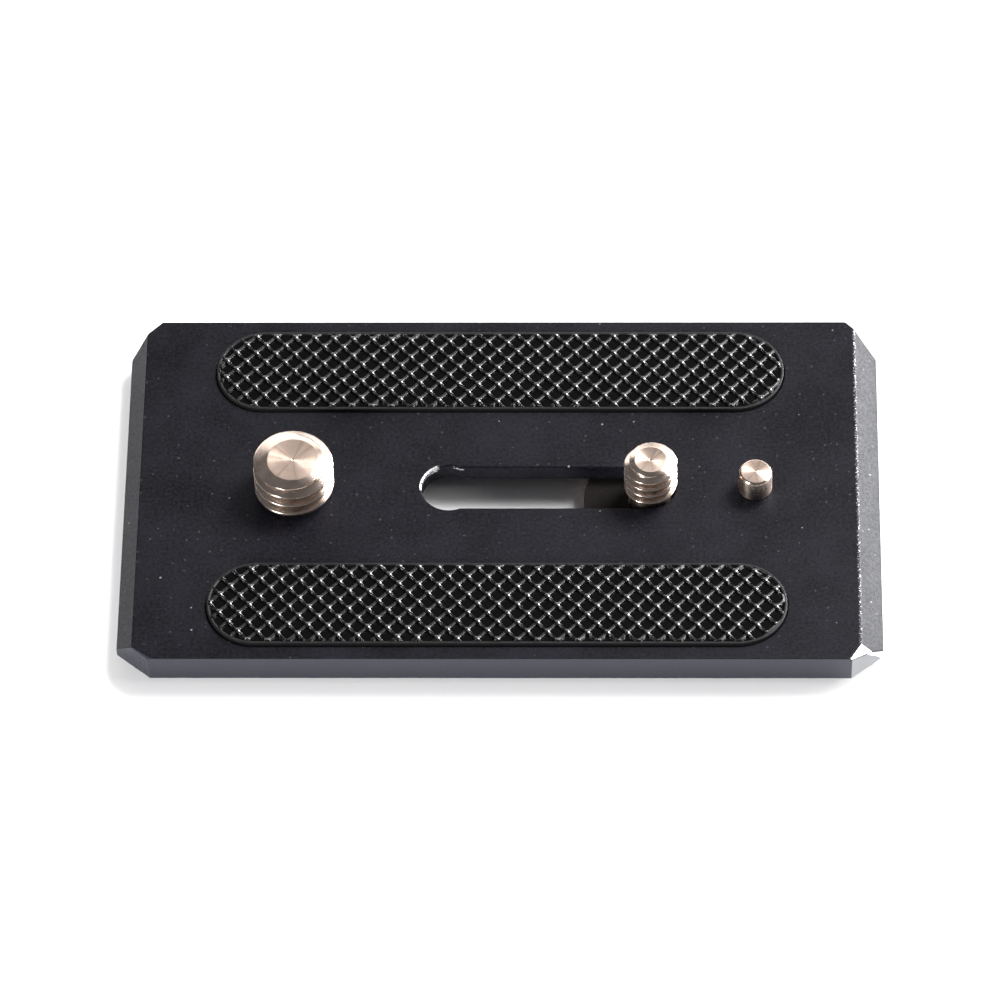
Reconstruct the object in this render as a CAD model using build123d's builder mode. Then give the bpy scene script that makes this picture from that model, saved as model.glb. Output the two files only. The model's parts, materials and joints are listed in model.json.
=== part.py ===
import os
from math import cos, hypot, radians, sin

from build123d import *

os.makedirs("parts", exist_ok=True)

# Millimetres. X runs along the plate, Y to the rear, Z up; the origin is the middle of the underside.

# Plate
plate_length = 90.0
plate_width = 50.0
plate_thickness = 5.0
left_bevel_run = 2.0
right_bevel_run = 2.7
bevel_drop = 2.6
corner_cut = 3.8
bottom_chamfer = 1.1
edge_break = 0.15

# Camera threads, outside diameters
small_thread = 6.35
large_thread = 9.525

# Screw line, along X at Y = 0
pin_margin = 14.85
pin_to_small_screw = 12.43
large_screw_margin = 20.4
large_screw_to_eye = 18.4

# Slot and bores in the web
web_thickness = 2.2
slot_width = 6.0
eye_clearance = 0.1
large_bore = 8.2
rim_chamfer = 0.2

# Screw heads and washers
head_diameter = 15.5
head_thickness = 2.1
head_chamfer = 0.3
coin_slot_width = 1.8
coin_slot_depth = 1.2
washer_thickness = 0.4
washer_overhang = 0.15
recess_clearance = 0.5
neck_gap = 0.15

# Screw shanks
small_neck = 4.9
large_neck = 7.4
thread_lift = 0.1
small_height = 5.5
large_height = 5.5
small_tip_radius = 1.85
small_tip_drop = 0.55
large_tip_radius = 2.95
large_tip_drop = 0.5
runout = 0.3

# Pin
pin_diameter = 4.0
pin_shank = 3.0
pin_height = 3.2
pin_chamfer = 0.35
pin_recess = 0.3

# Pads
pad_end_margin = 8.55
pad_side_margin = 1.9
pad_width = 11.7
pad_gap = 0.1
pocket_depth = 0.6
pad_proud = 0.7
pad_rim = 0.45

# Diamond pattern of the pads
cell_length = 2.33
cell_width = 2.57
ridge_width = 0.5
ridge_height = 0.4
pattern_tilt = -1.4
least_cell_area = 0.5

# Heights shared by the pieces
web_bottom = plate_thickness - web_thickness
washer_bottom = web_bottom - washer_thickness
head_bottom = washer_bottom - head_thickness
pocket_floor = plate_thickness - pocket_depth
pad_top = plate_thickness + pad_proud
thread_bottom = plate_thickness + thread_lift

# Places along X
end_x = plate_length / 2
top_left_x = -end_x + left_bevel_run
top_right_x = end_x - right_bevel_run
pin_x = end_x - pin_margin
small_screw_x = pin_x - pin_to_small_screw
large_screw_x = -end_x + large_screw_margin
slot_left_x = large_screw_x + large_screw_to_eye
slot_middle_x = (small_screw_x + slot_left_x) / 2
slot_travel = small_screw_x - slot_left_x

# Lengths shared by the pieces
recess_width = head_diameter + 2 * recess_clearance
washer_diameter = head_diameter + 2 * washer_overhang
eye_diameter = small_thread + 2 * eye_clearance
pad_length = top_right_x - top_left_x - 2 * pad_end_margin
pad_x = (top_left_x + top_right_x) / 2
pad_y = plate_width / 2 - pad_side_margin - pad_width / 2

# Base plate: a cut-cornered slab with bevelled ends
with BuildPart() as base_plate:
    with BuildSketch():
        Rectangle(plate_length, plate_width)
        chamfer(vertices(), corner_cut)
    extrude(amount=plate_thickness)
    chamfer(faces().sort_by(Axis.Z)[0].edges(), bottom_chamfer)

    # Bevelled ends
    bevel_foot = plate_thickness - bevel_drop
    with BuildSketch(Plane.XZ):
        with BuildLine():
            Polyline(
                (-end_x, bevel_foot),
                (-end_x, plate_thickness),
                (top_left_x, plate_thickness),
                close=True,
            )
        make_face()
        with BuildLine():
            Polyline(
                (end_x, bevel_foot),
                (end_x, plate_thickness),
                (top_right_x, plate_thickness),
                close=True,
            )
        make_face()
    extrude(amount=plate_width, both=True, mode=Mode.SUBTRACT)
    chamfer(faces().sort_by(Axis.Z)[-1].edges(), edge_break)

    # Slot and large bore, with chamfered rims
    with BuildSketch():
        with Locations((slot_middle_x, 0)):
            SlotCenterToCenter(slot_travel, slot_width)
        with Locations((slot_left_x, 0)):
            Circle(eye_diameter / 2)
        with Locations((large_screw_x, 0)):
            Circle(large_bore / 2)
    extrude(amount=plate_thickness, mode=Mode.SUBTRACT)
    rims = faces().sort_by(Axis.Z)[-1].inner_wires()
    chamfer([edge for rim in rims for edge in rim.edges()], rim_chamfer)

    # Pin bore
    with BuildSketch():
        with Locations((pin_x, 0)):
            Circle(pin_shank / 2)
    extrude(amount=plate_thickness, mode=Mode.SUBTRACT)

    # Pad pockets
    with BuildSketch(Plane.XY.offset(pocket_floor)):
        with Locations((pad_x, pad_y), (pad_x, -pad_y)):
            SlotOverall(pad_length + 2 * pad_gap, pad_width + 2 * pad_gap)
    extrude(amount=pocket_depth, mode=Mode.SUBTRACT)

    # Recesses for the screw heads
    with BuildSketch():
        with Locations((slot_middle_x, 0)):
            SlotCenterToCenter(slot_travel, recess_width)
        with Locations((large_screw_x, 0)):
            Circle(recess_width / 2)
    extrude(amount=web_bottom, mode=Mode.SUBTRACT)
base_plate.part.label = "base_plate"
export_step(base_plate.part, "parts/base_plate.step")

# Grip pads: rubber strips with round ends and diamond cells between their ridges
tilt = radians(pattern_tilt)
half_length = cell_length / 2
half_width = cell_width / 2
ridge_share = ridge_width / 2 * hypot(half_length, half_width) / (half_length * half_width)
cell_x = half_length * (1 - ridge_share)
cell_y = half_width * (1 - ridge_share)
columns = range(-int(pad_length / cell_length) - 1, int(pad_length / cell_length) + 2)
rows = range(-int(pad_width / cell_width) - 1, int(pad_width / cell_width) + 2)
cell_centres = [
    (
        column * half_length * cos(tilt) - row * half_width * sin(tilt),
        column * half_length * sin(tilt) + row * half_width * cos(tilt),
    )
    for column in columns
    for row in rows
    if (column + row) % 2 == 0
]
with BuildPart() as grip_pad:
    with BuildSketch(Plane.XY.offset(pocket_floor)):
        SlotOverall(pad_length, pad_width)
    extrude(amount=pad_top - pocket_floor)
    with BuildSketch(Plane.XY.offset(pad_top)) as cells:
        with Locations(*cell_centres):
            Polygon((cell_x, 0), (0, cell_y), (-cell_x, 0), (0, -cell_y), rotation=pattern_tilt)
        SlotOverall(pad_length - 2 * pad_rim, pad_width - 2 * pad_rim, mode=Mode.INTERSECT)
    whole_cells = [cell for cell in cells.sketch.faces() if cell.area > least_cell_area]
    extrude(whole_cells, amount=-ridge_height, mode=Mode.SUBTRACT)
grip_pad_rear = Pos(pad_x, pad_y, 0) * grip_pad.part
grip_pad_rear.label = "grip_pad_rear"
export_step(grip_pad_rear, "parts/grip_pad_rear.step")
grip_pad_front = Pos(pad_x, -pad_y, 0) * grip_pad.part
grip_pad_front.label = "grip_pad_front"
export_step(grip_pad_front, "parts/grip_pad_front.step")


def camera_screw(screw_x, neck, thread, height, tip_radius, tip_drop):
    """A captive screw: slotted head, neck through the web and a shank with a coned tip."""
    tip = plate_thickness + height
    with BuildPart() as screw:
        with BuildSketch(Plane.XZ):
            with BuildLine():
                Polyline(
                    (0, head_bottom),
                    (head_diameter / 2 - head_chamfer, head_bottom),
                    (head_diameter / 2, head_bottom + head_chamfer),
                    (head_diameter / 2, washer_bottom),
                    (neck / 2, washer_bottom),
                    (neck / 2, thread_bottom),
                    (thread / 2, thread_bottom + runout),
                    (thread / 2, tip - tip_drop),
                    (tip_radius, tip),
                    (0, tip),
                    close=True,
                )
            make_face()
        revolve(axis=Axis.Z)
        with BuildSketch(Plane.XY.offset(head_bottom)):
            Rectangle(coin_slot_width, head_diameter)
        extrude(amount=coin_slot_depth, mode=Mode.SUBTRACT)
    return Pos(screw_x, 0, 0) * screw.part


def head_washer(screw_x, neck):
    """A washer between a screw's head and the web."""
    with BuildPart() as washer:
        with BuildSketch(Plane.XY.offset(washer_bottom)):
            with Locations((screw_x, 0)):
                Circle(washer_diameter / 2)
                Circle(neck / 2 + neck_gap, mode=Mode.SUBTRACT)
        extrude(amount=washer_thickness)
    return washer.part


# Small screw, and the washer that slides along the slot with it
small_screw = camera_screw(
    small_screw_x, small_neck, small_thread, small_height, small_tip_radius, small_tip_drop
)
small_screw.label = "small_screw"
export_step(small_screw, "parts/small_screw.step")
small_washer = head_washer(small_screw_x, small_neck)
small_washer.label = "small_washer"
export_step(small_washer, "parts/small_washer.step")

# Large screw and its washer
large_screw = camera_screw(
    large_screw_x, large_neck, large_thread, large_height, large_tip_radius, large_tip_drop
)
large_screw.label = "large_screw"
export_step(large_screw, "parts/large_screw.step")
large_washer = head_washer(large_screw_x, large_neck)
large_washer.label = "large_washer"
export_step(large_washer, "parts/large_washer.step")

# Anti-twist pin: a shoulder on the plate and a shank pressed into its bore
with BuildPart() as anti_twist_pin:
    with BuildSketch(Plane.XY.offset(plate_thickness)):
        with Locations((pin_x, 0)):
            Circle(pin_diameter / 2)
    extrude(amount=pin_height)
    chamfer(faces().sort_by(Axis.Z)[-1].edges(), pin_chamfer)
    with BuildSketch(Plane.XY.offset(pin_recess)):
        with Locations((pin_x, 0)):
            Circle(pin_shank / 2)
    extrude(amount=plate_thickness - pin_recess)
anti_twist_pin.part.label = "anti_twist_pin"
export_step(anti_twist_pin.part, "parts/anti_twist_pin.step")
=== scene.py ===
import json
from math import cos, pi, radians, sin, sqrt

import bmesh
import bpy
import numpy as np
from mathutils import Matrix, Vector
from mathutils.geometry import delaunay_2d_cdt


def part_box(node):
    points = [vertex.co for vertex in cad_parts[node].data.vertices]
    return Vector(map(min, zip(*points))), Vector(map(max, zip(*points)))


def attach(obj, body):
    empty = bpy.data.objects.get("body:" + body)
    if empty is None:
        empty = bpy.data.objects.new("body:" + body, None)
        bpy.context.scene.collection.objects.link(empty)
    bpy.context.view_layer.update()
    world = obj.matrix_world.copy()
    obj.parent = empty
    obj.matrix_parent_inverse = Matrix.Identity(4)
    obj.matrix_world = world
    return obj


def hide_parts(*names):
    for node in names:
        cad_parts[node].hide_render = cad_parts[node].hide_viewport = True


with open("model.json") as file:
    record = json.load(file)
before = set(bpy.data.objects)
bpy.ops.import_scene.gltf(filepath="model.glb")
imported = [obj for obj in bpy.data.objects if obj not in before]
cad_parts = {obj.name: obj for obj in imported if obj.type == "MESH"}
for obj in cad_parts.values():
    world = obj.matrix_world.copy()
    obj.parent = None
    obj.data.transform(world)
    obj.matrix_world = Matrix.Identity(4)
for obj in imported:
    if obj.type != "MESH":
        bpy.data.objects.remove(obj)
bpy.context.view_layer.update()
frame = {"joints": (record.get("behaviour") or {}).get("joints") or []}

# Sizes are in millimetres, in the part's own frame, and become metres as each mesh is made.
MM = 0.001


def node_box(node):
    """A CAD node's lowest and highest corners, in millimetres to three places."""
    return [[round(value / MM, 3) for value in corner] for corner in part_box(node)]


def halfway(low, high):
    """The middle between two values, to three places."""
    return round((low + high) / 2, 3)


# Plate
_, (END_X, SIDE_Y, PLATE_TOP) = node_box("base_plate")
LEFT_BEVEL_RUN = 2.0
RIGHT_BEVEL_RUN = 2.7
BEVEL_DROP = 2.6
TOP_RIGHT_X = END_X - RIGHT_BEVEL_RUN
BEVEL_FOOT = PLATE_TOP - BEVEL_DROP
BOTTOM_CHAMFER = 1.1
EDGE_ROUND = 0.13
PLATE_SMOOTH = 5
# Cut corners: towards which end and side, and how far the cut reaches along X and along Y
FRONT_RIGHT_CUT = (1, -1, 3.8, 3.05)
CORNER_CUTS = ((1, 1, 3.7, 3.8), (-1, 1, 3.7, 3.8), (-1, -1, 4.0, 3.3), FRONT_RIGHT_CUT)

# Wear: planes that take off the front right corner and nick the front left one
CHIP_POINT = (TOP_RIGHT_X, -22.75, PLATE_TOP)
CHIP_NORMAL = (0.602, -0.37, 0.708)
NICK_POINT = (-42.5, -23.55, PLATE_TOP)
NICK_NORMAL = (-0.45, -0.62, 0.64)
# Wear: the cut corner under the chip is bare above this plane, and only from this x on
BARE_POINT = (42.87, -23.66, 4.04)
BARE_NORMAL = (0.572, 0.459, 0.681)
BARE_FROM_X = 40.0
# Wear: the scrape on the slot's rear wall, and the way to the worn part of the slot's left rim
SCRAPE_X = -5.25
SCRAPE_Z = 4.6
EYE_WEAR = (-0.866, 0.5, 0)

# Screws and washers
small_low, small_high = node_box("small_screw")
large_low, large_high = node_box("large_screw")
washer_low, washer_high = node_box("small_washer")
SMALL_SCREW_X = halfway(small_low[0], small_high[0])
LARGE_SCREW_X = halfway(large_low[0], large_high[0])
SCREW_TIP = small_high[2]
HEAD_RADIUS = small_high[1]
HEAD_BOTTOM = small_low[2]
HEAD_TOP = washer_low[2]
WEB_BOTTOM = washer_high[2]
WASHER_RADIUS = round(washer_high[0] - SMALL_SCREW_X, 3)
WASHER_EDGE = 0.06
SMALL_NECK_RADIUS = 2.45
LARGE_NECK_RADIUS = 3.7
NECK_GAP = 0.15
NECK_FILLET = 0.1
# The head's lower and upper edges: in from its side, and up or down from its face
HEAD_EDGE = ((0.4, 0.0), (0.12, 0.1), (0.0, 0.35))
HEAD_SHOULDER = ((0.0, 0.2), (0.15, 0.0))
COIN_SLOT_WIDTH = 1.8
COIN_SLOT_DEPTH = 1.2
COIN_SLOT_REACH = 9.0
COIN_SLOT_EDGE = 0.15

# Threads; the form of the thread is in shares of its pitch
THREAD_BOTTOM = PLATE_TOP + 0.1
THREAD_ROW = 0.04
THREAD_ROUND = 0.03
RUNOUT = 0.08
THREAD_DEPTH = 0.6134
CREST_HALF = 0.0625
FLANK = 0.3125

# Faced-off ends
FEED = 0.2
RINGS_PER_FEED = 5
PIP_RADIUS = 0.16
TIP_EDGE = 0.03
TURNED_SMOOTH = 30
THREAD_SMOOTH = 65

# Pin, with its tip's edge as in from its side and down from its end
PIN_RADIUS = 2.0
PIN_SHANK_RADIUS = 1.5
pin_low, pin_high = node_box("anti_twist_pin")
PIN_X = round(pin_high[0] - PIN_RADIUS, 3)
PIN_BOTTOM = pin_low[2]
PIN_TOP = pin_high[2]
PIN_EDGE = 0.1
PIN_SEAT = 0.12
PIN_TIP = ((0.0, 0.35), (0.05, 0.24), (0.22, 0.05))
PIN_FACE_INSET = 0.32

# Slot, bores and recesses
slide = next(joint for joint in frame["joints"] if joint["name"] == "screw_slide")
EYE_X = round(SMALL_SCREW_X + slide["range_m"][0] / MM, 3)
EYE_RADIUS = 3.275
SLOT_RADIUS = 3.0
LARGE_BORE_RADIUS = 4.1
RECESS_RADIUS = HEAD_RADIUS + 0.5
RIM = 0.2
OVERCUT = 1.0

# Pads
pad_low, pad_high = node_box("grip_pad_rear")
PAD_LENGTH = 68.2
PAD_WIDTH = round(pad_high[1] - pad_low[1], 3)
PAD_X = halfway(pad_low[0], pad_high[0])
PAD_Y = halfway(pad_low[1], pad_high[1])
PAD_BOTTOM = pad_low[2]
PAD_TOP = pad_high[2]
PAD_GAP = 0.1
PAD_RADIUS = PAD_WIDTH / 2
PAD_REACH = (PAD_LENGTH - PAD_WIDTH) / 2
PAD_SMOOTH = 50
# How each pad's diamonds lie: half cells along and across the pad are counted from a start, and
# the count grows with x, y, x * x and x * y, because the moulded strips are a little stretched
PAD_LATTICES = {
    "rear": {
        "along": (0.547, 0.8579, 0.0074, 0.0, 0.00024),
        "across": (-0.331, 0.0221, 0.7808, -0.00011, -0.00031),
    },
    "front": {
        "along": (0.2015, 0.857, 0.0047, 0.0, 0.00061),
        "across": (0.1112, 0.0212, 0.7781, -0.00035, 0.0),
    },
}
# Ridges: heights below the pad's top, radii across their crowns, and distances from their middles
CELL_FLOOR = 0.4
RIDGE_CREST = 0.09
BACK_CROWN = 0.06
FORWARD_CROWN = 0.34
CROWN_HALF = 0.20
WALL_FOOT = 0.26
RIDGE_STEPS = (0.0, 0.05, 0.1, 0.15, 0.2, 0.23, 0.26, 0.36, 0.5)
# Domes where the ridges cross: radii along and across, and how softly the surfaces meet
NODE_ALONG = 0.7
NODE_ACROSS = 0.6
RIDGE_BLEND = 0.015
NODE_BLEND = 0.02
NODE_SETTLE = 0.014
FLOOR_BLEND = 0.015
NORMAL_STEP = 0.03
# The pads' rim: heights below the top, distances in from the outline, and points round each ring
RIM_CREST = 0.26
RIM_DROP = 0.06
RIM_ROUND = 0.1
RIM_INNER = 0.3
RIM_FADE = 0.14
RIM_INSETS = (0.0, 0.03, 0.06, 0.1, 0.2, 0.3, 0.37, 0.44, 0.52)
RING_CLEARANCE = 0.08
RING_ARC = 240
RING_SIDE = 800

# Floor
FLOOR_HALF = 2500
FLOOR_DROP = 0.02

# Camera, where the photograph was taken from
CAMERA_PLACE = Vector((15.986, -492.078, 663.039)) * MM
CAMERA_RIGHT = Vector((0.999807, 0.011702, -0.015775))
CAMERA_UP = Vector((0.00004, 0.801936, 0.597410))
SENSOR_WIDTH = 36.0
FOCAL_LENGTH = 248.91


def shade(mesh, smooth_below):
    """Shades a mesh smooth across its edges below an angle in degrees."""
    mesh.polygons.foreach_set("use_smooth", [True] * len(mesh.polygons))
    mesh.set_sharp_from_angle(angle=radians(smooth_below))


def finish_mesh(name, bm, smooth_below):
    """Makes a linked object from a mesh in millimetres."""
    bmesh.ops.recalc_face_normals(bm, faces=bm.faces[:])
    bmesh.ops.scale(bm, vec=(MM, MM, MM), verts=bm.verts[:])
    mesh = bpy.data.meshes.new(name)
    bm.to_mesh(mesh)
    bm.free()
    shade(mesh, smooth_below)
    piece = bpy.data.objects.new(name, mesh)
    bpy.context.scene.collection.objects.link(piece)
    return piece


def shade_thread(piece, height):
    """Shades a piece as turned up to a height, and as a thread over it."""
    bm = bmesh.new()
    bm.from_mesh(piece.data)
    for face in bm.faces:
        face.smooth = True
    for edge in bm.edges:
        over = min(vert.co.z for vert in edge.verts) > height * MM
        edge.smooth = edge.calc_face_angle(pi) < radians(THREAD_SMOOTH if over else TURNED_SMOOTH)
    bm.to_mesh(piece.data)
    bm.free()


def cut(piece, cutters):
    """Takes each cutter's shape out of a piece, then deletes the cutters."""
    for cutter in cutters:
        difference = piece.modifiers.new("cut", "BOOLEAN")
        difference.operation = "DIFFERENCE"
        difference.solver = "EXACT"
        difference.object = cutter
        shaped = piece.evaluated_get(bpy.context.evaluated_depsgraph_get())
        mesh = bpy.data.meshes.new_from_object(shaped)
        piece.modifiers.clear()
        old = piece.data
        piece.data = mesh
        bpy.data.meshes.remove(old)
        gone = cutter.data
        bpy.data.objects.remove(cutter)
        bpy.data.meshes.remove(gone)


def bridge(bm, low, high):
    """Fills the band between two rings, either of which may be a single point."""
    count = max(len(low), len(high))
    for i in range(count):
        j = (i + 1) % count
        if len(low) == 1:
            bm.faces.new((low[0], high[j], high[i]))
        elif len(high) == 1:
            bm.faces.new((low[i], low[j], high[0]))
        else:
            bm.faces.new((low[i], low[j], high[j], high[i]))


def loops_mesh(name, loops):
    """A closed mesh through loops of equal length, capped at both ends."""
    bm = bmesh.new()
    rings = [[bm.verts.new(point) for point in loop] for loop in loops]
    for low, high in zip(rings, rings[1:]):
        bridge(bm, low, high)
    bm.faces.new(list(reversed(rings[0])))
    bm.faces.new(rings[-1])
    return finish_mesh(name, bm, PLATE_SMOOTH)


def stadium(left_x, right_x, y, left_radius, right_radius):
    """A loop of two round ends, seen from above, anticlockwise from the right end's start."""
    arc = 48
    points = []
    start = -pi / 2
    for i in range(arc + 1):
        turn = start + pi * i / arc
        points.append((right_x + right_radius * cos(turn), y + right_radius * sin(turn)))
    # A left end wider than the straight sides begins where its circle meets them
    reach = sqrt(max(0.0, left_radius**2 - right_radius**2))
    first = np.arctan2(right_radius, reach)
    for i in range(arc + 1):
        turn = first + (2 * pi - 2 * first) * i / arc
        points.append((left_x + left_radius * cos(turn), y + left_radius * sin(turn)))
    return points


def circle(x, radius, count=96):
    """A round loop on the screw line."""
    turns = [2 * pi * i / count for i in range(count)]
    return [(x + radius * cos(turn), radius * sin(turn)) for turn in turns]


def swelled(points, out):
    """A loop moved outwards by a distance, along the bisectors of its corners."""
    count = len(points)
    moved = []
    for i, (x, y) in enumerate(points):
        before = Vector(points[i - 1]) - Vector((x, y))
        after = Vector(points[(i + 1) % count]) - Vector((x, y))
        across = after.normalized() - before.normalized()
        normal = Vector((across.y, -across.x)).normalized()
        moved.append((x + normal.x * out, y + normal.y * out))
    return moved


def rimmed_cutter(name, points, bottom, rim):
    """A cutter up through the top face, flared by a rounded rim."""
    steps = 4
    loops = [[(x, y, bottom) for x, y in points]]
    for i in range(steps + 1):
        turn = pi / 2 * i / steps
        out = rim * (1 - cos(turn))
        height = PLATE_TOP - rim * (1 - sin(turn))
        loops.append([(x, y, height) for x, y in swelled(points, out)])
    loops.append([(x, y, PLATE_TOP + OVERCUT) for x, y in swelled(points, rim)])
    return loops_mesh(name, loops)


def recess_cutter(name, points):
    """A cutter from the underside up to the web, flared at its mouth."""
    loops = [[(x, y, -OVERCUT) for x, y in swelled(points, RIM)]]
    loops.append([(x, y, 0.0) for x, y in swelled(points, RIM)])
    loops.append([(x, y, RIM) for x, y in points])
    loops.append([(x, y, WEB_BOTTOM) for x, y in points])
    return loops_mesh(name, loops)


def corner_normal(side_x, side_y, cut_x, cut_y):
    """The way that a cut corner's face looks."""
    return (side_x * cut_y, side_y * cut_x, 0)


def plate_planes():
    """The planes that shape the plate from a slab: a point on each, and the way it looks."""
    ends = [((side * END_X, 0, 0), (side, 0, 0)) for side in (-1, 1)]
    sides = [((0, side * SIDE_Y, 0), (0, side, 0)) for side in (-1, 1)]
    corners = []
    for side_x, side_y, cut_x, cut_y in CORNER_CUTS:
        point = (side_x * END_X, side_y * (SIDE_Y - cut_y), 0)
        corners.append((point, corner_normal(side_x, side_y, cut_x, cut_y)))
    bevels = [
        ((-END_X, 0, BEVEL_FOOT), (-BEVEL_DROP, 0, LEFT_BEVEL_RUN)),
        ((END_X, 0, BEVEL_FOOT), (BEVEL_DROP, 0, RIGHT_BEVEL_RUN)),
    ]
    chamfers = []
    for (x, y, _), normal in ends + sides + corners:
        downwards = Vector(normal).normalized() - Vector((0, 0, 1))
        chamfers.append(((x, y, BOTTOM_CHAMFER), downwards))
    wear = [(CHIP_POINT, CHIP_NORMAL), (NICK_POINT, NICK_NORMAL)]
    return corners + bevels + chamfers + wear


def plate_cutters():
    """The plate's slot, bores, pad pockets and recesses."""
    slot = stadium(EYE_X, SMALL_SCREW_X, 0, EYE_RADIUS, SLOT_RADIUS)
    # The slot and the large bore open into the recesses
    in_recess = 1.0
    cutters = [
        rimmed_cutter("cut_slot", slot, in_recess, RIM),
        rimmed_cutter("cut_bore", circle(LARGE_SCREW_X, LARGE_BORE_RADIUS), in_recess, RIM),
        rimmed_cutter("cut_pin", circle(PIN_X, PIN_SHANK_RADIUS), -OVERCUT, RIM / 2),
    ]
    radius = PAD_RADIUS + PAD_GAP
    for side in (-1, 1):
        pocket = stadium(PAD_X - PAD_REACH, PAD_X + PAD_REACH, side * PAD_Y, radius, radius)
        cutters.append(rimmed_cutter("cut_pocket", pocket, PAD_BOTTOM, RIM / 2))
    recess = stadium(EYE_X, SMALL_SCREW_X, 0, RECESS_RADIUS, RECESS_RADIUS)
    cutters.append(recess_cutter("cut_recess", recess))
    cutters.append(recess_cutter("cut_well", circle(LARGE_SCREW_X, RECESS_RADIUS)))
    return cutters


def make_plate():
    """The plate: a slab cut by planes, its edges rounded, then its bores and pockets."""
    bm = bmesh.new()
    bmesh.ops.create_cube(bm, size=1.0)
    bmesh.ops.scale(bm, vec=(2 * END_X, 2 * SIDE_Y, PLATE_TOP), verts=bm.verts[:])
    bmesh.ops.translate(bm, vec=(0, 0, PLATE_TOP / 2), verts=bm.verts[:])
    for point, normal in plate_planes():
        done = bmesh.ops.bisect_plane(
            bm,
            geom=bm.verts[:] + bm.edges[:] + bm.faces[:],
            plane_co=point,
            plane_no=Vector(normal).normalized(),
            clear_outer=True,
        )
        edges = [item for item in done["geom_cut"] if isinstance(item, bmesh.types.BMEdge)]
        if edges:
            bmesh.ops.edgeloop_fill(bm, edges=edges)
    bmesh.ops.dissolve_degenerate(bm, dist=0.001, edges=bm.edges[:])
    bmesh.ops.bevel(
        bm,
        geom=bm.edges[:],
        offset=EDGE_ROUND,
        offset_type="OFFSET",
        segments=3,
        profile=0.5,
        affect="EDGES",
        clamp_overlap=True,
    )
    plate = finish_mesh("plate_body", bm, PLATE_SMOOTH)
    cut(plate, plate_cutters())
    shade(plate.data, PLATE_SMOOTH)
    return plate


def soft_least(first, second, round_over):
    """The lesser of two distances, rounded over where they cross."""
    return -round_over * np.logaddexp(-first / round_over, -second / round_over)


def turned_mesh(name, centre_x, profile, thread=None, segments=144):
    """A turned piece: profile is (radius, height) from the axis up; thread trims each ring."""
    bm = bmesh.new()
    turns = 2 * pi * np.arange(segments) / segments
    rings = []
    for radius, height in profile:
        if radius == 0:
            rings.append([bm.verts.new((centre_x, 0, height))])
            continue
        radii = np.full(segments, radius)
        if thread:
            radii = soft_least(radii, thread(turns, height), THREAD_ROUND)
        xs = centre_x + radii * np.cos(turns)
        ys = radii * np.sin(turns)
        rings.append([bm.verts.new((x, y, height)) for x, y in zip(xs, ys)])
    for low, high in zip(rings, rings[1:]):
        bridge(bm, low, high)
    return finish_mesh(name, bm, TURNED_SMOOTH)


def turned_face(radius, height, depth, pip=0.0, dish=0.0):
    """Rings of a faced-off end, from its edge to the axis, with feed marks and a centre pip."""
    rings = []
    step = FEED / RINGS_PER_FEED
    for i in range(int(radius / step)):
        at = radius - i * step
        mark = depth * (0.5 - 0.5 * cos(2 * pi * at / FEED))
        rise = pip if at < PIP_RADIUS else 0.0
        sunk = dish * (1 - (at / radius) ** 2)
        rings.append((at, height - mark + rise - sunk))
    rings.append((0, height + pip - dish))
    return rings


def coin_slot_cutter(centre_x):
    """A cutter across a screw's head, flared at its mouth."""
    half = COIN_SLOT_WIDTH / 2
    mouth = half + COIN_SLOT_EDGE
    top = HEAD_BOTTOM + COIN_SLOT_DEPTH
    section = [(-mouth, -OVERCUT), (mouth, -OVERCUT), (mouth, HEAD_BOTTOM)]
    section += [(half, HEAD_BOTTOM + COIN_SLOT_EDGE), (half, top), (-half, top)]
    section += [(-half, HEAD_BOTTOM + COIN_SLOT_EDGE), (-mouth, HEAD_BOTTOM)]
    ends = (-COIN_SLOT_REACH, COIN_SLOT_REACH)
    return loops_mesh("cut_coin_slot", [[(centre_x + x, y, z) for x, z in section] for y in ends])


def make_screw(name, centre_x, neck, radius, pitch, tip_radius, tip_drop, start, dish):
    """A camera screw: slotted head, neck, helical thread and a coned, faced-off tip."""

    def thread(turns, height):
        if height < THREAD_BOTTOM:
            return np.full(len(turns), 2 * HEAD_RADIUS)
        phase = (height - start) / pitch - turns / (2 * pi)
        away = np.abs(phase - np.round(phase))
        flank = np.clip((away - CREST_HALF) / FLANK, 0, 1)
        flank = 0.5 * flank + 0.5 * flank**2 * (3 - 2 * flank)
        return radius - THREAD_DEPTH * pitch * flank

    profile = [(0, HEAD_BOTTOM)]
    profile += [(HEAD_RADIUS - inwards, HEAD_BOTTOM + up) for inwards, up in HEAD_EDGE]
    profile += [(HEAD_RADIUS - inwards, HEAD_TOP - down) for inwards, down in HEAD_SHOULDER]
    profile += [(neck + NECK_FILLET, HEAD_TOP), (neck, HEAD_TOP + NECK_FILLET)]
    length = SCREW_TIP - THREAD_BOTTOM
    rows = int(length / THREAD_ROW)
    for i in range(rows + 1):
        height = THREAD_BOTTOM + length * i / rows
        low = neck + (radius - neck) * (height - THREAD_BOTTOM) / RUNOUT
        high = tip_radius + (radius - tip_radius) * (SCREW_TIP - height) / tip_drop
        profile.append((min(radius, low, high), height))
    profile += turned_face(tip_radius - TIP_EDGE, SCREW_TIP, depth=0.006, pip=-0.03, dish=dish)
    screw = turned_mesh(name, centre_x, profile, thread)
    cut(screw, [coin_slot_cutter(centre_x)])
    shade_thread(screw, THREAD_BOTTOM)
    return screw


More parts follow.
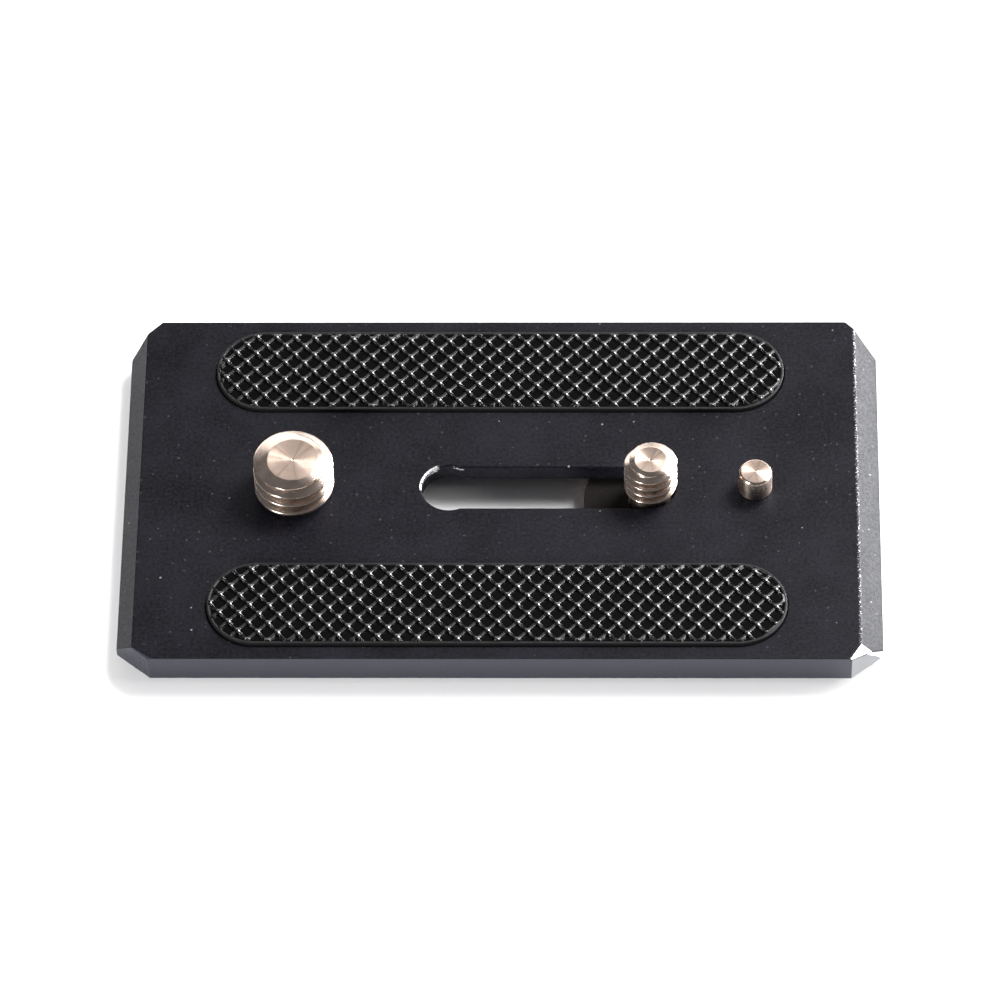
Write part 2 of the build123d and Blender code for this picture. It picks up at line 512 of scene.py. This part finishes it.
def make_washer(name, centre_x, neck):
    """A flat washer with softened edges, round a screw's neck."""
    inner = neck + NECK_GAP
    outer = WASHER_RADIUS
    soft = WASHER_EDGE
    section = [(inner, HEAD_TOP + soft), (inner + soft, HEAD_TOP), (outer - soft, HEAD_TOP)]
    section += [(outer, HEAD_TOP + soft), (outer, WEB_BOTTOM - soft), (outer - soft, WEB_BOTTOM)]
    section += [(inner + soft, WEB_BOTTOM), (inner, WEB_BOTTOM - soft)]
    bm = bmesh.new()
    rings = []
    for radius, height in section:
        loop = circle(centre_x, radius, count=128)
        rings.append([bm.verts.new((x, y, height)) for x, y in loop])
    for low, high in zip(rings, rings[1:] + rings[:1]):
        bridge(bm, low, high)
    return finish_mesh(name, bm, TURNED_SMOOTH)


def make_pin():
    """The anti-twist pin: a chamfered, faced-off dowel on a shank."""
    shank = PIN_SHANK_RADIUS
    profile = [(0, PIN_BOTTOM), (shank - PIN_EDGE, PIN_BOTTOM), (shank, PIN_BOTTOM + PIN_EDGE)]
    profile += [(shank, PLATE_TOP), (PIN_RADIUS - PIN_EDGE, PLATE_TOP)]
    profile += [(PIN_RADIUS, PLATE_TOP + PIN_SEAT)]
    profile += [(PIN_RADIUS - inwards, PIN_TOP - down) for inwards, down in PIN_TIP]
    profile += turned_face(PIN_RADIUS - PIN_FACE_INSET, PIN_TOP, depth=0.005)
    return turned_mesh("pin_body", PIN_X, profile, segments=96)


def half_cells(terms, x, y):
    """How many half cells lie between a count's start and a point."""
    start, by_x, by_y, by_xx, by_xy = terms
    return start + by_x * x + by_y * y + by_xx * x * x + by_xy * x * y


def lattice_counts(lattice, x, y):
    """How many ridges of each family lie between the pad's middle and a point."""
    along = half_cells(lattice["along"], x, y)
    across = half_cells(lattice["across"], x, y)
    return (along + across) / 2, (along - across) / 2


def lattice_points(lattice, back, forward):
    """Where the given ridge counts meet: the inverse of lattice_counts."""
    along_start, along_x, along_y, along_xx, along_xy = lattice["along"]
    across_start, across_x, across_y, across_xx, across_xy = lattice["across"]
    along = back + forward - along_start
    across = back - forward - across_start
    x = along / along_x
    y = across / across_y
    rounds = 8
    for _ in range(rounds):
        x = (along - along_y * y - along_xx * x * x - along_xy * x * y) / along_x
        y = (across - across_x * x - across_xx * x * x - across_xy * x * y) / across_y
    return x, y


def ridge_spacing(lattice):
    """Distance between neighbouring ridges of one family."""
    _, along_x, *_ = lattice["along"]
    _, _, across_y, *_ = lattice["across"]
    return 2 / sqrt(along_x**2 + across_y**2)


def wall_drop(away, height):
    """How far a steep wall lies below its top, from a ridge's crown to its foot."""
    return height * np.clip((away - CROWN_HALF) / (WALL_FOOT - CROWN_HALF), 0, None)


def ridge_drop(away, crown):
    """How far a ridge's surface lies below its crest: a round crown, then a wall."""
    round_drop = np.minimum(away, CROWN_HALF) ** 2 / (2 * crown)
    return round_drop + wall_drop(away, CELL_FLOOR - RIDGE_CREST)


def pad_inset(x, y):
    """Distance in from a pad's outline, in the pad's own frame."""
    return PAD_RADIUS - np.hypot(np.clip(np.abs(x) - PAD_REACH, 0, None), y)


def pad_drop(lattice, x, y):
    """How far the pad's top face lies below its highest points, in the pad's own frame."""
    back, forward = lattice_counts(lattice, x + PAD_X, y)
    spacing = ridge_spacing(lattice)
    off_back = np.abs(back - np.round(back)) * spacing
    off_forward = np.abs(forward - np.round(forward)) * spacing
    back_ridges = ridge_drop(off_back, BACK_CROWN)
    forward_ridges = ridge_drop(off_forward, FORWARD_CROWN)
    ridges = RIDGE_CREST + soft_least(back_ridges, forward_ridges, RIDGE_BLEND)
    nodes = off_forward**2 / (2 * NODE_ALONG) + off_back**2 / (2 * NODE_ACROSS)
    nodes += wall_drop(np.minimum(off_back, off_forward), CELL_FLOOR)
    raised = soft_least(ridges, nodes, NODE_BLEND) + NODE_SETTLE
    pattern = soft_least(raised, np.full(len(x), CELL_FLOOR), FLOOR_BLEND)
    inset = pad_inset(x, y)
    rim = RIM_CREST + RIM_DROP * np.clip(1 - inset / RIM_ROUND, 0, 1) ** 2
    edge = np.clip((inset - RIM_INNER) / RIM_FADE, 0, 1)
    return np.maximum(rim + (pattern - rim) * edge, 0.0)


def pad_normals(lattice, x, y):
    """Directions square to the pad's top face."""
    step = NORMAL_STEP
    along_x = (pad_drop(lattice, x + step, y) - pad_drop(lattice, x - step, y)) / (2 * step)
    along_y = (pad_drop(lattice, x, y + step) - pad_drop(lattice, x, y - step)) / (2 * step)
    normals = np.stack([along_x, along_y, np.ones(len(x))], 1)
    return normals / np.linalg.norm(normals, axis=1, keepdims=True)


def pad_ring(inset):
    """A loop of points round a pad, at a distance in from its outline."""
    radius = PAD_RADIUS - inset
    loop = []
    for side in (1, -1):
        for i in range(RING_ARC):
            turn = side * pi / 2 - pi * (i / RING_ARC)
            loop.append((side * PAD_REACH + radius * cos(turn), radius * sin(turn)))
        for i in range(RING_SIDE):
            loop.append((side * PAD_REACH - side * 2 * PAD_REACH * i / RING_SIDE, -side * radius))
    return loop


def ridge_points(lattice):
    """Points in steps across the pad's ridges, inside its rim."""
    spacing = ridge_spacing(lattice)
    shares = [step / spacing for step in RIDGE_STEPS]
    steps = sorted({step for share in shares for step in (share, 1 - share) if step < 1})
    far = int(PAD_LENGTH / spacing)
    counts = np.array([i + step for i in range(-far, far + 1) for step in steps])
    back, forward = [grid.ravel() for grid in np.meshgrid(counts, counts)]
    x, y = lattice_points(lattice, back, forward)
    x = x - PAD_X
    inside = pad_inset(x, y) > RIM_INSETS[-1] + RING_CLEARANCE
    return np.stack([x[inside], y[inside]], 1)


def make_pad(name, lattice, pad_y):
    """A rubber pad: rounded ridges in diamonds, a bead round the edge, closed below."""
    rings = [np.array(pad_ring(inset)) for inset in RIM_INSETS]
    points = [Vector(point) for point in np.concatenate(rings + [ridge_points(lattice)])]
    outline = list(range(len(rings[0])))
    inside_only = 1
    merge_within = 1e-6
    flat, _, faces, *_ = delaunay_2d_cdt(points, [], [outline], inside_only, merge_within)
    flat = np.array([tuple(point) for point in flat])
    heights = PAD_TOP - pad_drop(lattice, flat[:, 0], flat[:, 1])
    bm = bmesh.new()
    top = [bm.verts.new((x + PAD_X, y + pad_y, z)) for (x, y), z in zip(flat, heights)]
    for face in faces:
        bm.faces.new([top[i] for i in face])
    border = [edge for edge in bm.edges if edge.is_boundary]
    skirt = bmesh.ops.extrude_edge_only(bm, edges=border)["geom"]
    for vert in [item for item in skirt if isinstance(item, bmesh.types.BMVert)]:
        vert.co.z = PAD_BOTTOM
    bottom = [item for item in skirt if isinstance(item, bmesh.types.BMEdge) and item.is_boundary]
    bmesh.ops.edgeloop_fill(bm, edges=bottom)
    pad = finish_mesh(name, bm, PAD_SMOOTH)
    # The top face is shaded by its true normals, the sides and the bottom flat
    smooth = pad_normals(lattice, flat[:, 0], flat[:, 1])
    normals = []
    for polygon in pad.data.polygons:
        on_top = polygon.index < len(faces)
        normals += [tuple(smooth[i]) if on_top else tuple(polygon.normal) for i in polygon.vertices]
    pad.data.normals_split_custom_set(normals)
    return pad


class Shader:
    """A node material being put together, with a place in millimetres to work from."""

    def __init__(self, name):
        self.material = bpy.data.materials.new(name)
        self.material.use_nodes = True
        self.tree = self.material.node_tree
        self.tree.nodes.clear()
        place = self.node("TexCoord").outputs["Object"]
        self.mm = self.vector("MULTIPLY", place, (1 / MM, 1 / MM, 1 / MM))

    def node(self, kind, inputs=None, **settings):
        made = self.tree.nodes.new("ShaderNode" + kind)
        for name, value in settings.items():
            setattr(made, name, value)
        for name, value in (inputs or {}).items():
            self.feed(made.inputs[name], value)
        return made

    def feed(self, socket, value):
        if isinstance(value, bpy.types.NodeSocket):
            self.tree.links.new(value, socket)
        else:
            socket.default_value = value

    def math(self, operation, *values):
        made = self.node("Math", operation=operation)
        for socket, value in zip(made.inputs, values):
            self.feed(socket, value)
        return made.outputs[0]

    def times(self, first, *others):
        for other in others:
            first = self.math("MULTIPLY", first, other)
        return first

    def most(self, first, *others):
        for other in others:
            first = self.math("MAXIMUM", first, other)
        return first

    def mixed(self, share, first, second):
        """The first value where the share is 0, and the second where it is 1."""
        left = self.math("SUBTRACT", 1.0, share)
        return self.math("ADD", self.times(first, left), self.times(share, second))

    def vector(self, operation, *values):
        made = self.node("VectorMath", operation=operation)
        for socket, value in zip(made.inputs, values):
            self.feed(socket, value)
        scalar = operation in ("DISTANCE", "DOT_PRODUCT", "LENGTH")
        return made.outputs["Value" if scalar else "Vector"]

    def axes(self, vector):
        apart = self.node("SeparateXYZ", {"Vector": vector})
        return [apart.outputs[axis] for axis in "XYZ"]

    def spread(self, value, low, high, to_low=0.0, to_high=1.0):
        """A value between two limits, spread between two others."""
        inputs = {"Value": value, "From Min": low, "From Max": high}
        inputs.update({"To Min": to_low, "To Max": to_high})
        return self.node("MapRange", inputs).outputs["Result"]

    def near(self, value, middle, full, none):
        """1 up to one distance from a middle, falling to 0 at another."""
        away = self.math("ABSOLUTE", self.math("SUBTRACT", value, middle))
        return self.spread(away, full, none, 1.0, 0.0)

    def noise(self, scale, detail, roughness, vector=None):
        inputs = {"Vector": vector or self.mm, "Scale": scale}
        inputs.update({"Detail": detail, "Roughness": roughness})
        return self.node("TexNoise", inputs).outputs["Fac"]

    def wander(self, noise, reach):
        """A noise turned into a distance to either side."""
        return self.math("MULTIPLY", self.math("SUBTRACT", noise, 0.5), reach)

    def blend(self, factor, first, second):
        made = self.node("Mix", data_type="RGBA")
        self.feed(made.inputs[0], factor)
        self.feed(made.inputs[6], first)
        self.feed(made.inputs[7], second)
        return made.outputs[2]

    def bump(self, height, strength, distance):
        inputs = {"Height": height, "Strength": strength, "Distance": distance * MM}
        return self.node("Bump", inputs).outputs["Normal"]

    def surface(self, inputs):
        principled = self.node("BsdfPrincipled", inputs)
        output = self.node("OutputMaterial")
        self.tree.links.new(principled.outputs["BSDF"], output.inputs["Surface"])
        return self.material


def colour(red, green, blue):
    """An opaque colour."""
    return (red, green, blue, 1.0)


def dust_on(shader, up):
    """Specks of dust on the faces that look up: a few clear ones and many faint ones."""
    # Cells to the millimetre, the share of them without a speck, the largest speck and its strength
    kinds = ((0.25, 0.76, 0.04, 0.45), (0.7, 0.72, 0.13, 0.07))
    specks = []
    for scale, empty, largest, strength in kinds:
        inputs = {"Vector": shader.mm, "Scale": scale}
        cells = shader.node("TexVoronoi", inputs, voronoi_dimensions="2D", feature="F1")
        pick = shader.node("SeparateColor", {"Color": cells.outputs["Color"]}).outputs["Red"]
        size = shader.spread(pick, empty, 1.0, 0.2 * largest, largest)
        size = shader.times(size, shader.math("GREATER_THAN", pick, empty))
        within = shader.math("SUBTRACT", size, cells.outputs["Distance"])
        specks.append(shader.spread(within, 0.0, 0.4 * largest, 0.0, strength))
    return shader.times(shader.most(*specks), shader.spread(up, 0.3, 0.6))


def worn_end(shader, x, z):
    """Sparkle along the right end's top edge."""
    by_edge = shader.near(x, TOP_RIGHT_X, 0.04, 0.26)
    by_top = shader.spread(z, PLATE_TOP - 0.3, PLATE_TOP - 0.2)
    dashes = shader.vector("MULTIPLY", shader.mm, (0.7, 1.3, 1.0))
    sparkle = shader.spread(shader.noise(4.6, 3.0, 0.7, dashes), 0.55, 0.68, 0.0, 0.9)
    return shader.times(by_edge, by_top, sparkle)


def worn_eye(shader, x, y, z, ragged):
    """Bare metal on the rim at the slot's left end."""
    level = shader.node("CombineXYZ", {"X": x, "Y": y}).outputs[0]
    around = shader.vector("DISTANCE", level, (EYE_X, 0, 0))
    beyond = shader.spread(around, EYE_RADIUS - 0.06, EYE_RADIUS - 0.03)
    short = shader.spread(around, EYE_RADIUS + 0.24, EYE_RADIUS + 0.3, 1.0, 0.0)
    high = shader.math("ADD", z, shader.wander(ragged, 1.6))
    high = shader.spread(high, PLATE_TOP - 0.6, PLATE_TOP - 0.5)
    from_eye = shader.vector("SUBTRACT", shader.mm, (EYE_X, 0, 0))
    outwards = shader.vector("DOT_PRODUCT", from_eye, EYE_WEAR)
    turned = shader.spread(shader.math("DIVIDE", outwards, around), 0.78, 0.9)
    return shader.times(beyond, short, high, turned, shader.spread(ragged, 0.36, 0.44))


def scraped_wall(shader, x, y, z, ragged):
    """A scrape to bare metal on the slot's rear wall, under its rim."""
    spot = shader.times(shader.near(x, SCRAPE_X, 0.6, 0.9), shader.near(z, SCRAPE_Z, 0.1, 0.25))
    behind = shader.spread(y, SLOT_RADIUS - 0.2, SLOT_RADIUS - 0.1)
    before = shader.math("LESS_THAN", y, SLOT_RADIUS + 1.0)
    return shader.times(spot, behind, before, shader.spread(ragged, 0.5, 0.6))


def chipped_corner(shader, x, facing):
    """Bare metal on the chip's facet and on the upper part of the cut corner under it."""
    chip_normal = Vector(CHIP_NORMAL).normalized()
    chip = shader.spread(shader.vector("DOT_PRODUCT", facing, chip_normal), 0.985, 0.995)
    cut_normal = Vector(corner_normal(*FRONT_RIGHT_CUT)).normalized()
    on_cut = shader.spread(shader.vector("DOT_PRODUCT", facing, cut_normal), 0.97, 0.985)
    on_cut = shader.times(on_cut, shader.math("GREATER_THAN", x, BARE_FROM_X))
    above = shader.vector("DOT_PRODUCT", shader.vector("SUBTRACT", shader.mm, BARE_POINT), BARE_NORMAL)
    above = shader.math("ADD", above, shader.wander(shader.noise(0.9, 3.0, 0.6), 0.5))
    above = shader.spread(above, -0.03, 0.03)
    scuffed = 0.22
    return shader.most(chip, shader.times(on_cut, shader.most(above, scuffed)))


def anodised():
    """Black anodised aluminium: fine blasted grain, dust, scuffs, and bare metal where it is worn."""
    shader = Shader("anodised_black")
    x, y, z = shader.axes(shader.mm)
    facing = shader.node("NewGeometry").outputs["True Normal"]
    facing_x, facing_y, facing_z = shader.axes(facing)

    # The long sides are milled, and the rest is blasted; the milled sides are also painted a lighter
    # grey, painted light that brightens them
    side_band = 6.0
    milled_lit_sides = shader.spread(shader.math("ABSOLUTE", facing_y), 0.5, 0.75)
    by_side = shader.math("GREATER_THAN", shader.math("ABSOLUTE", y), SIDE_Y - side_band)
    milled_lit_sides = shader.times(milled_lit_sides, by_side)
    grain = shader.noise(2.6, 4.0, 0.75)
    cloud = shader.noise(0.12, 3.0, 0.6)
    tone = shader.math("ADD", shader.times(grain, 0.7), shader.times(cloud, 0.3))
    black = colour(0.0010, 0.0010, 0.0022)
    grey = colour(0.0084, 0.0082, 0.0112)
    milled_painted_grey = colour(0.0140, 0.0147, 0.0205)
    dust_grey = colour(0.35, 0.35, 0.36)
    base = shader.blend(shader.spread(tone, 0.40, 0.60), black, grey)
    # Painted light: the long sides are made a lighter grey than the top
    base = shader.blend(milled_lit_sides, base, milled_painted_grey)
    base = shader.blend(dust_on(shader, facing_z), base, dust_grey)

    # Bare metal
    ragged = shader.noise(2.6, 3.0, 0.6)
    worn = shader.most(
        worn_end(shader, x, z),
        worn_eye(shader, x, y, z, ragged),
        scraped_wall(shader, x, y, z, ragged),
        chipped_corner(shader, x, facing),
    )
    bare_metal = colour(0.82, 0.82, 0.83)
    base = shader.blend(worn, base, bare_metal)
    rough = shader.mixed(worn, shader.spread(tone, 0.3, 0.7, 0.36, 0.48), 0.3)

    # Pits break up the gleam on the bevelled ends
    sloped = shader.spread(shader.math("ABSOLUTE", facing_x), 0.5, 0.65)
    pits = shader.spread(shader.noise(3.2, 4.0, 0.75), 0.35, 0.68, -0.45, 0.75)
    pitted = shader.math("ADD", 1.0, shader.times(sloped, pits))
    gleam = shader.spread(milled_lit_sides, 0.0, 1.0, 0.12, 0.40)
    return shader.surface(
        {
            "Base Color": base,
            "Metallic": worn,
            "Roughness": rough,
            "Specular IOR Level": shader.times(gleam, pitted),
            "Specular Tint": colour(0.90, 0.92, 1.0),
            "Normal": shader.bump(grain, 0.3, 0.02),
        }
    )


def rubber():
    """Black moulded rubber with a slight bloom: glossy ridges, polished nodes and matt cells."""
    shader = Shader("rubber_black")
    skin = shader.noise(9.0, 3.0, 0.6)
    bloom = shader.noise(0.5, 3.0, 0.6)
    x, y, z = shader.axes(shader.mm)

    # Where a point lies: distance in from the pad's outline, on its rim or side, or in a cell
    from_middle = shader.math("ABSOLUTE", shader.math("SUBTRACT", x, PAD_X))
    beyond = shader.math("SUBTRACT", from_middle, PAD_REACH)
    across = shader.math("SUBTRACT", shader.math("ABSOLUTE", y), PAD_Y)
    away = shader.node("CombineXYZ", {"X": shader.most(beyond, 0.0), "Y": across}).outputs[0]
    inset = shader.math("SUBTRACT", PAD_RADIUS, shader.vector("LENGTH", away))
    rim = shader.spread(inset, RIM_INNER, RIM_INNER + RIM_FADE, 1.0, 0.0)
    below_rim = shader.math("LESS_THAN", z, PAD_TOP - RIM_CREST - RIM_DROP)
    # This mask picks the pad's side walls, which get painted light below
    side = shader.times(shader.spread(inset, 0.005, 0.01, 1.0, 0.0), below_rim)
    floor_z = PAD_TOP - CELL_FLOOR
    deep = shader.spread(z, floor_z + 0.03, floor_z + 0.12, 1.0, 0.0)

    black = colour(0.0008, 0.0008, 0.0011)
    grey = colour(0.0018, 0.0018, 0.0021)
    side_lifted_grey = colour(0.005, 0.005, 0.0052)
    base = shader.blend(shader.spread(bloom, 0.3, 0.7), black, grey)
    # Painted light: the pad's side walls are made a lighter grey to lift the shade on them
    base = shader.blend(side, base, side_lifted_grey)
    rough = shader.spread(shader.math("ADD", skin, bloom), 0.7, 1.3, 0.22, 0.28)
    rough = shader.math("ADD", rough, shader.times(shader.most(deep, rim), 0.25))
    polished = shader.spread(z, PAD_TOP - 0.085, PAD_TOP - 0.055, 1.0, 3.0)
    gloss = shader.times(shader.spread(deep, 0.0, 1.0, 0.48, 0.03), polished)
    return shader.surface(
        {
            "Base Color": base,
            "Roughness": rough,
            "Specular IOR Level": shader.mixed(rim, gloss, 0.3),
            "Normal": shader.bump(skin, 0.04, 0.02),
        }
    )


def stainless(name, centre_x):
    """Turned stainless steel: lathe rings about the piece's axis, with darker sectors painted on its
    faced ends as painted reflection.
    """
    shader = Shader(name)
    smudge = shader.noise(0.7, 4.0, 0.6)
    spoke = shader.vector("MULTIPLY", shader.vector("SUBTRACT", shader.mm, (centre_x, 0, 0)), (1, 1, 0))
    wedge_angle_noise = shader.noise(1.1, 2.0, 0.5, shader.vector("NORMALIZE", spoke))
    _, _, up = shader.axes(shader.node("NewGeometry").outputs["Normal"])
    faced = shader.spread(up, 0.972, 0.985)
    upright = shader.spread(up, 0.2, 0.35, 1.0, 0.0)
    brushed = shader.most(faced, upright)
    warm = colour(0.64, 0.51, 0.43)
    bright = colour(0.75, 0.62, 0.53)
    brown = colour(0.42, 0.32, 0.26)
    base = shader.blend(shader.spread(smudge, 0.3, 0.7), warm, bright)
    # Painted reflection: darker brown sectors on the faced ends stand in for the dark wedges of their
    # gleam
    painted_dark_wedges = shader.times(faced, shader.spread(wedge_angle_noise, 0.52, 0.62))
    base = shader.blend(painted_dark_wedges, base, brown)
    rough = shader.math("ADD", shader.spread(smudge, 0.3, 0.7, 0.18, 0.25), shader.times(brushed, 0.08))
    tangent = shader.node("Tangent", direction_type="RADIAL", axis="Z").outputs["Tangent"]
    return shader.surface(
        {
            "Base Color": base,
            "Metallic": 1.0,
            "Roughness": rough,
            "Anisotropic": shader.spread(brushed, 0.0, 1.0, 0.4, 0.8),
            "Anisotropic Rotation": 0.25,
            "Tangent": tangent,
        }
    )


def fibre():
    """Brown pressed fibre."""
    shader = Shader("fibre_brown")
    strands = shader.noise(2.0, 5.0, 0.7)
    fine = shader.noise(9.0, 3.0, 0.6)
    dark = colour(0.0042, 0.0032, 0.0024)
    light = colour(0.0095, 0.0074, 0.0056)
    return shader.surface(
        {
            "Base Color": shader.blend(shader.spread(strands, 0.3, 0.7), dark, light),
            "Roughness": shader.spread(fine, 0.3, 0.7, 0.7, 0.9),
            "Specular IOR Level": 0.15,
            "Normal": shader.bump(fine, 0.4, 0.03),
        }
    )


def paper():
    """The plain pale floor."""
    shader = Shader("pale_floor")
    tone = shader.noise(0.02, 3.0, 0.5)
    pale = colour(0.88, 0.88, 0.885)
    white = colour(0.91, 0.91, 0.91)
    return shader.surface(
        {
            "Base Color": shader.blend(tone, pale, white),
            "Roughness": shader.spread(tone, 0.3, 0.7, 0.8, 0.95),
            "Specular IOR Level": 0.0,
        }
    )


def place(piece, body, node, slot, material):
    """Puts a finished piece on its body, in the place of its node."""
    piece.data.materials.clear()
    piece.data.materials.append(material)
    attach(piece, body)
    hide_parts(node)


# Pieces
fibre_board = fibre()
pad_rubber = rubber()
place(make_plate(), "plate", "base_plate", "anodised", anodised())
rear = make_pad("pad_rear", PAD_LATTICES["rear"], PAD_Y)
front = make_pad("pad_front", PAD_LATTICES["front"], -PAD_Y)
place(rear, "plate", "grip_pad_rear", "rubber", pad_rubber)
place(front, "plate", "grip_pad_front", "rubber", pad_rubber)
small = make_screw(
    "small_screw_body",
    SMALL_SCREW_X,
    neck=SMALL_NECK_RADIUS,
    radius=3.175,
    pitch=1.27,
    tip_radius=1.85,
    tip_drop=0.55,
    start=1.1,
    dish=0.12,
)
large = make_screw(
    "large_screw_body",
    LARGE_SCREW_X,
    neck=LARGE_NECK_RADIUS,
    radius=4.7625,
    pitch=1.5875,
    tip_radius=2.95,
    tip_drop=0.5,
    start=1.42,
    dish=0.02,
)
place(small, "small_screw", "small_screw", "stainless", stainless("stainless_small", SMALL_SCREW_X))
place(large, "large_screw", "large_screw", "stainless", stainless("stainless_large", LARGE_SCREW_X))
place(make_pin(), "plate", "anti_twist_pin", "stainless", stainless("stainless_pin", PIN_X))
small_ring = make_washer("small_washer_body", SMALL_SCREW_X, SMALL_NECK_RADIUS)
large_ring = make_washer("large_washer_body", LARGE_SCREW_X, LARGE_NECK_RADIUS)
place(small_ring, "carriage", "small_washer", "fibre", fibre_board)
place(large_ring, "plate", "large_washer", "fibre", fibre_board)

# Floor
bm = bmesh.new()
bmesh.ops.create_grid(bm, x_segments=8, y_segments=8, size=FLOOR_HALF)
bmesh.ops.translate(bm, vec=(0, 0, -FLOOR_DROP), verts=bm.verts[:])
floor = finish_mesh("floor", bm, smooth_below=30)
floor.data.materials.append(paper())


def area_light(name, at, size, power, target=(0, 0, 0), tint=(1.0, 1.0, 1.0)):
    """A soft rectangular light, aimed at a point; places and sizes in metres, power in watts."""
    lamp = bpy.data.lights.new(name, "AREA")
    lamp.shape = "RECTANGLE"
    lamp.size, lamp.size_y = size
    lamp.energy = power
    lamp.color = tint
    light = bpy.data.objects.new(name, lamp)
    bpy.context.scene.collection.objects.link(light)
    aim = (Vector(target) - Vector(at)).to_track_quat("-Z", "Y")
    light.matrix_world = Matrix.Translation(at) @ aim.to_matrix().to_4x4()
    return light


# Studio: the front wash only lights the matt faces, and the fill only gleams in the shiny ones
area_light("key", at=(0.487, 0.39, 0.725), size=(0.4, 0.4), power=16.0)
area_light("side", at=(0.9, 0.05, 0.36), size=(0.55, 0.36), power=7.6)
area_light("strip", at=(0.72, 0.54, 0.08), size=(0.5, 0.14), power=13.5, target=(0, 0, 0.02))
area_light("horizon", at=(0.0, 1.0, 0.4), size=(1.5, 0.46), power=4.6)
area_light("back", at=(0.1, 0.75, 0.95), size=(1.1, 0.55), power=1.3, tint=(1.0, 0.9, 0.84))
front_wash = area_light("front", at=(-0.5, -0.9, 0.33), size=(0.6, 0.2), power=22.0)
front_wash.visible_glossy = False
fill = area_light("fill", at=(-0.6, -0.52, 0.46), size=(0.26, 0.2), power=5.5)
fill.visible_diffuse = False

world = bpy.data.worlds.new("studio")
world.use_nodes = True
background = world.node_tree.nodes["Background"]
background.inputs["Color"].default_value = colour(0.13, 0.13, 0.138)
background.inputs["Strength"].default_value = 1.0
bpy.context.scene.world = world
bpy.context.scene.view_settings.view_transform = "Standard"

# Camera
lens = bpy.data.cameras.new("camera")
lens.sensor_width = SENSOR_WIDTH
lens.lens = FOCAL_LENGTH
camera = bpy.data.objects.new("camera", lens)
bpy.context.scene.collection.objects.link(camera)
axes = Matrix((CAMERA_RIGHT, CAMERA_UP, CAMERA_RIGHT.cross(CAMERA_UP))).transposed()
camera.matrix_world = Matrix.Translation(CAMERA_PLACE) @ axes.to_4x4()
bpy.context.scene.camera = camera
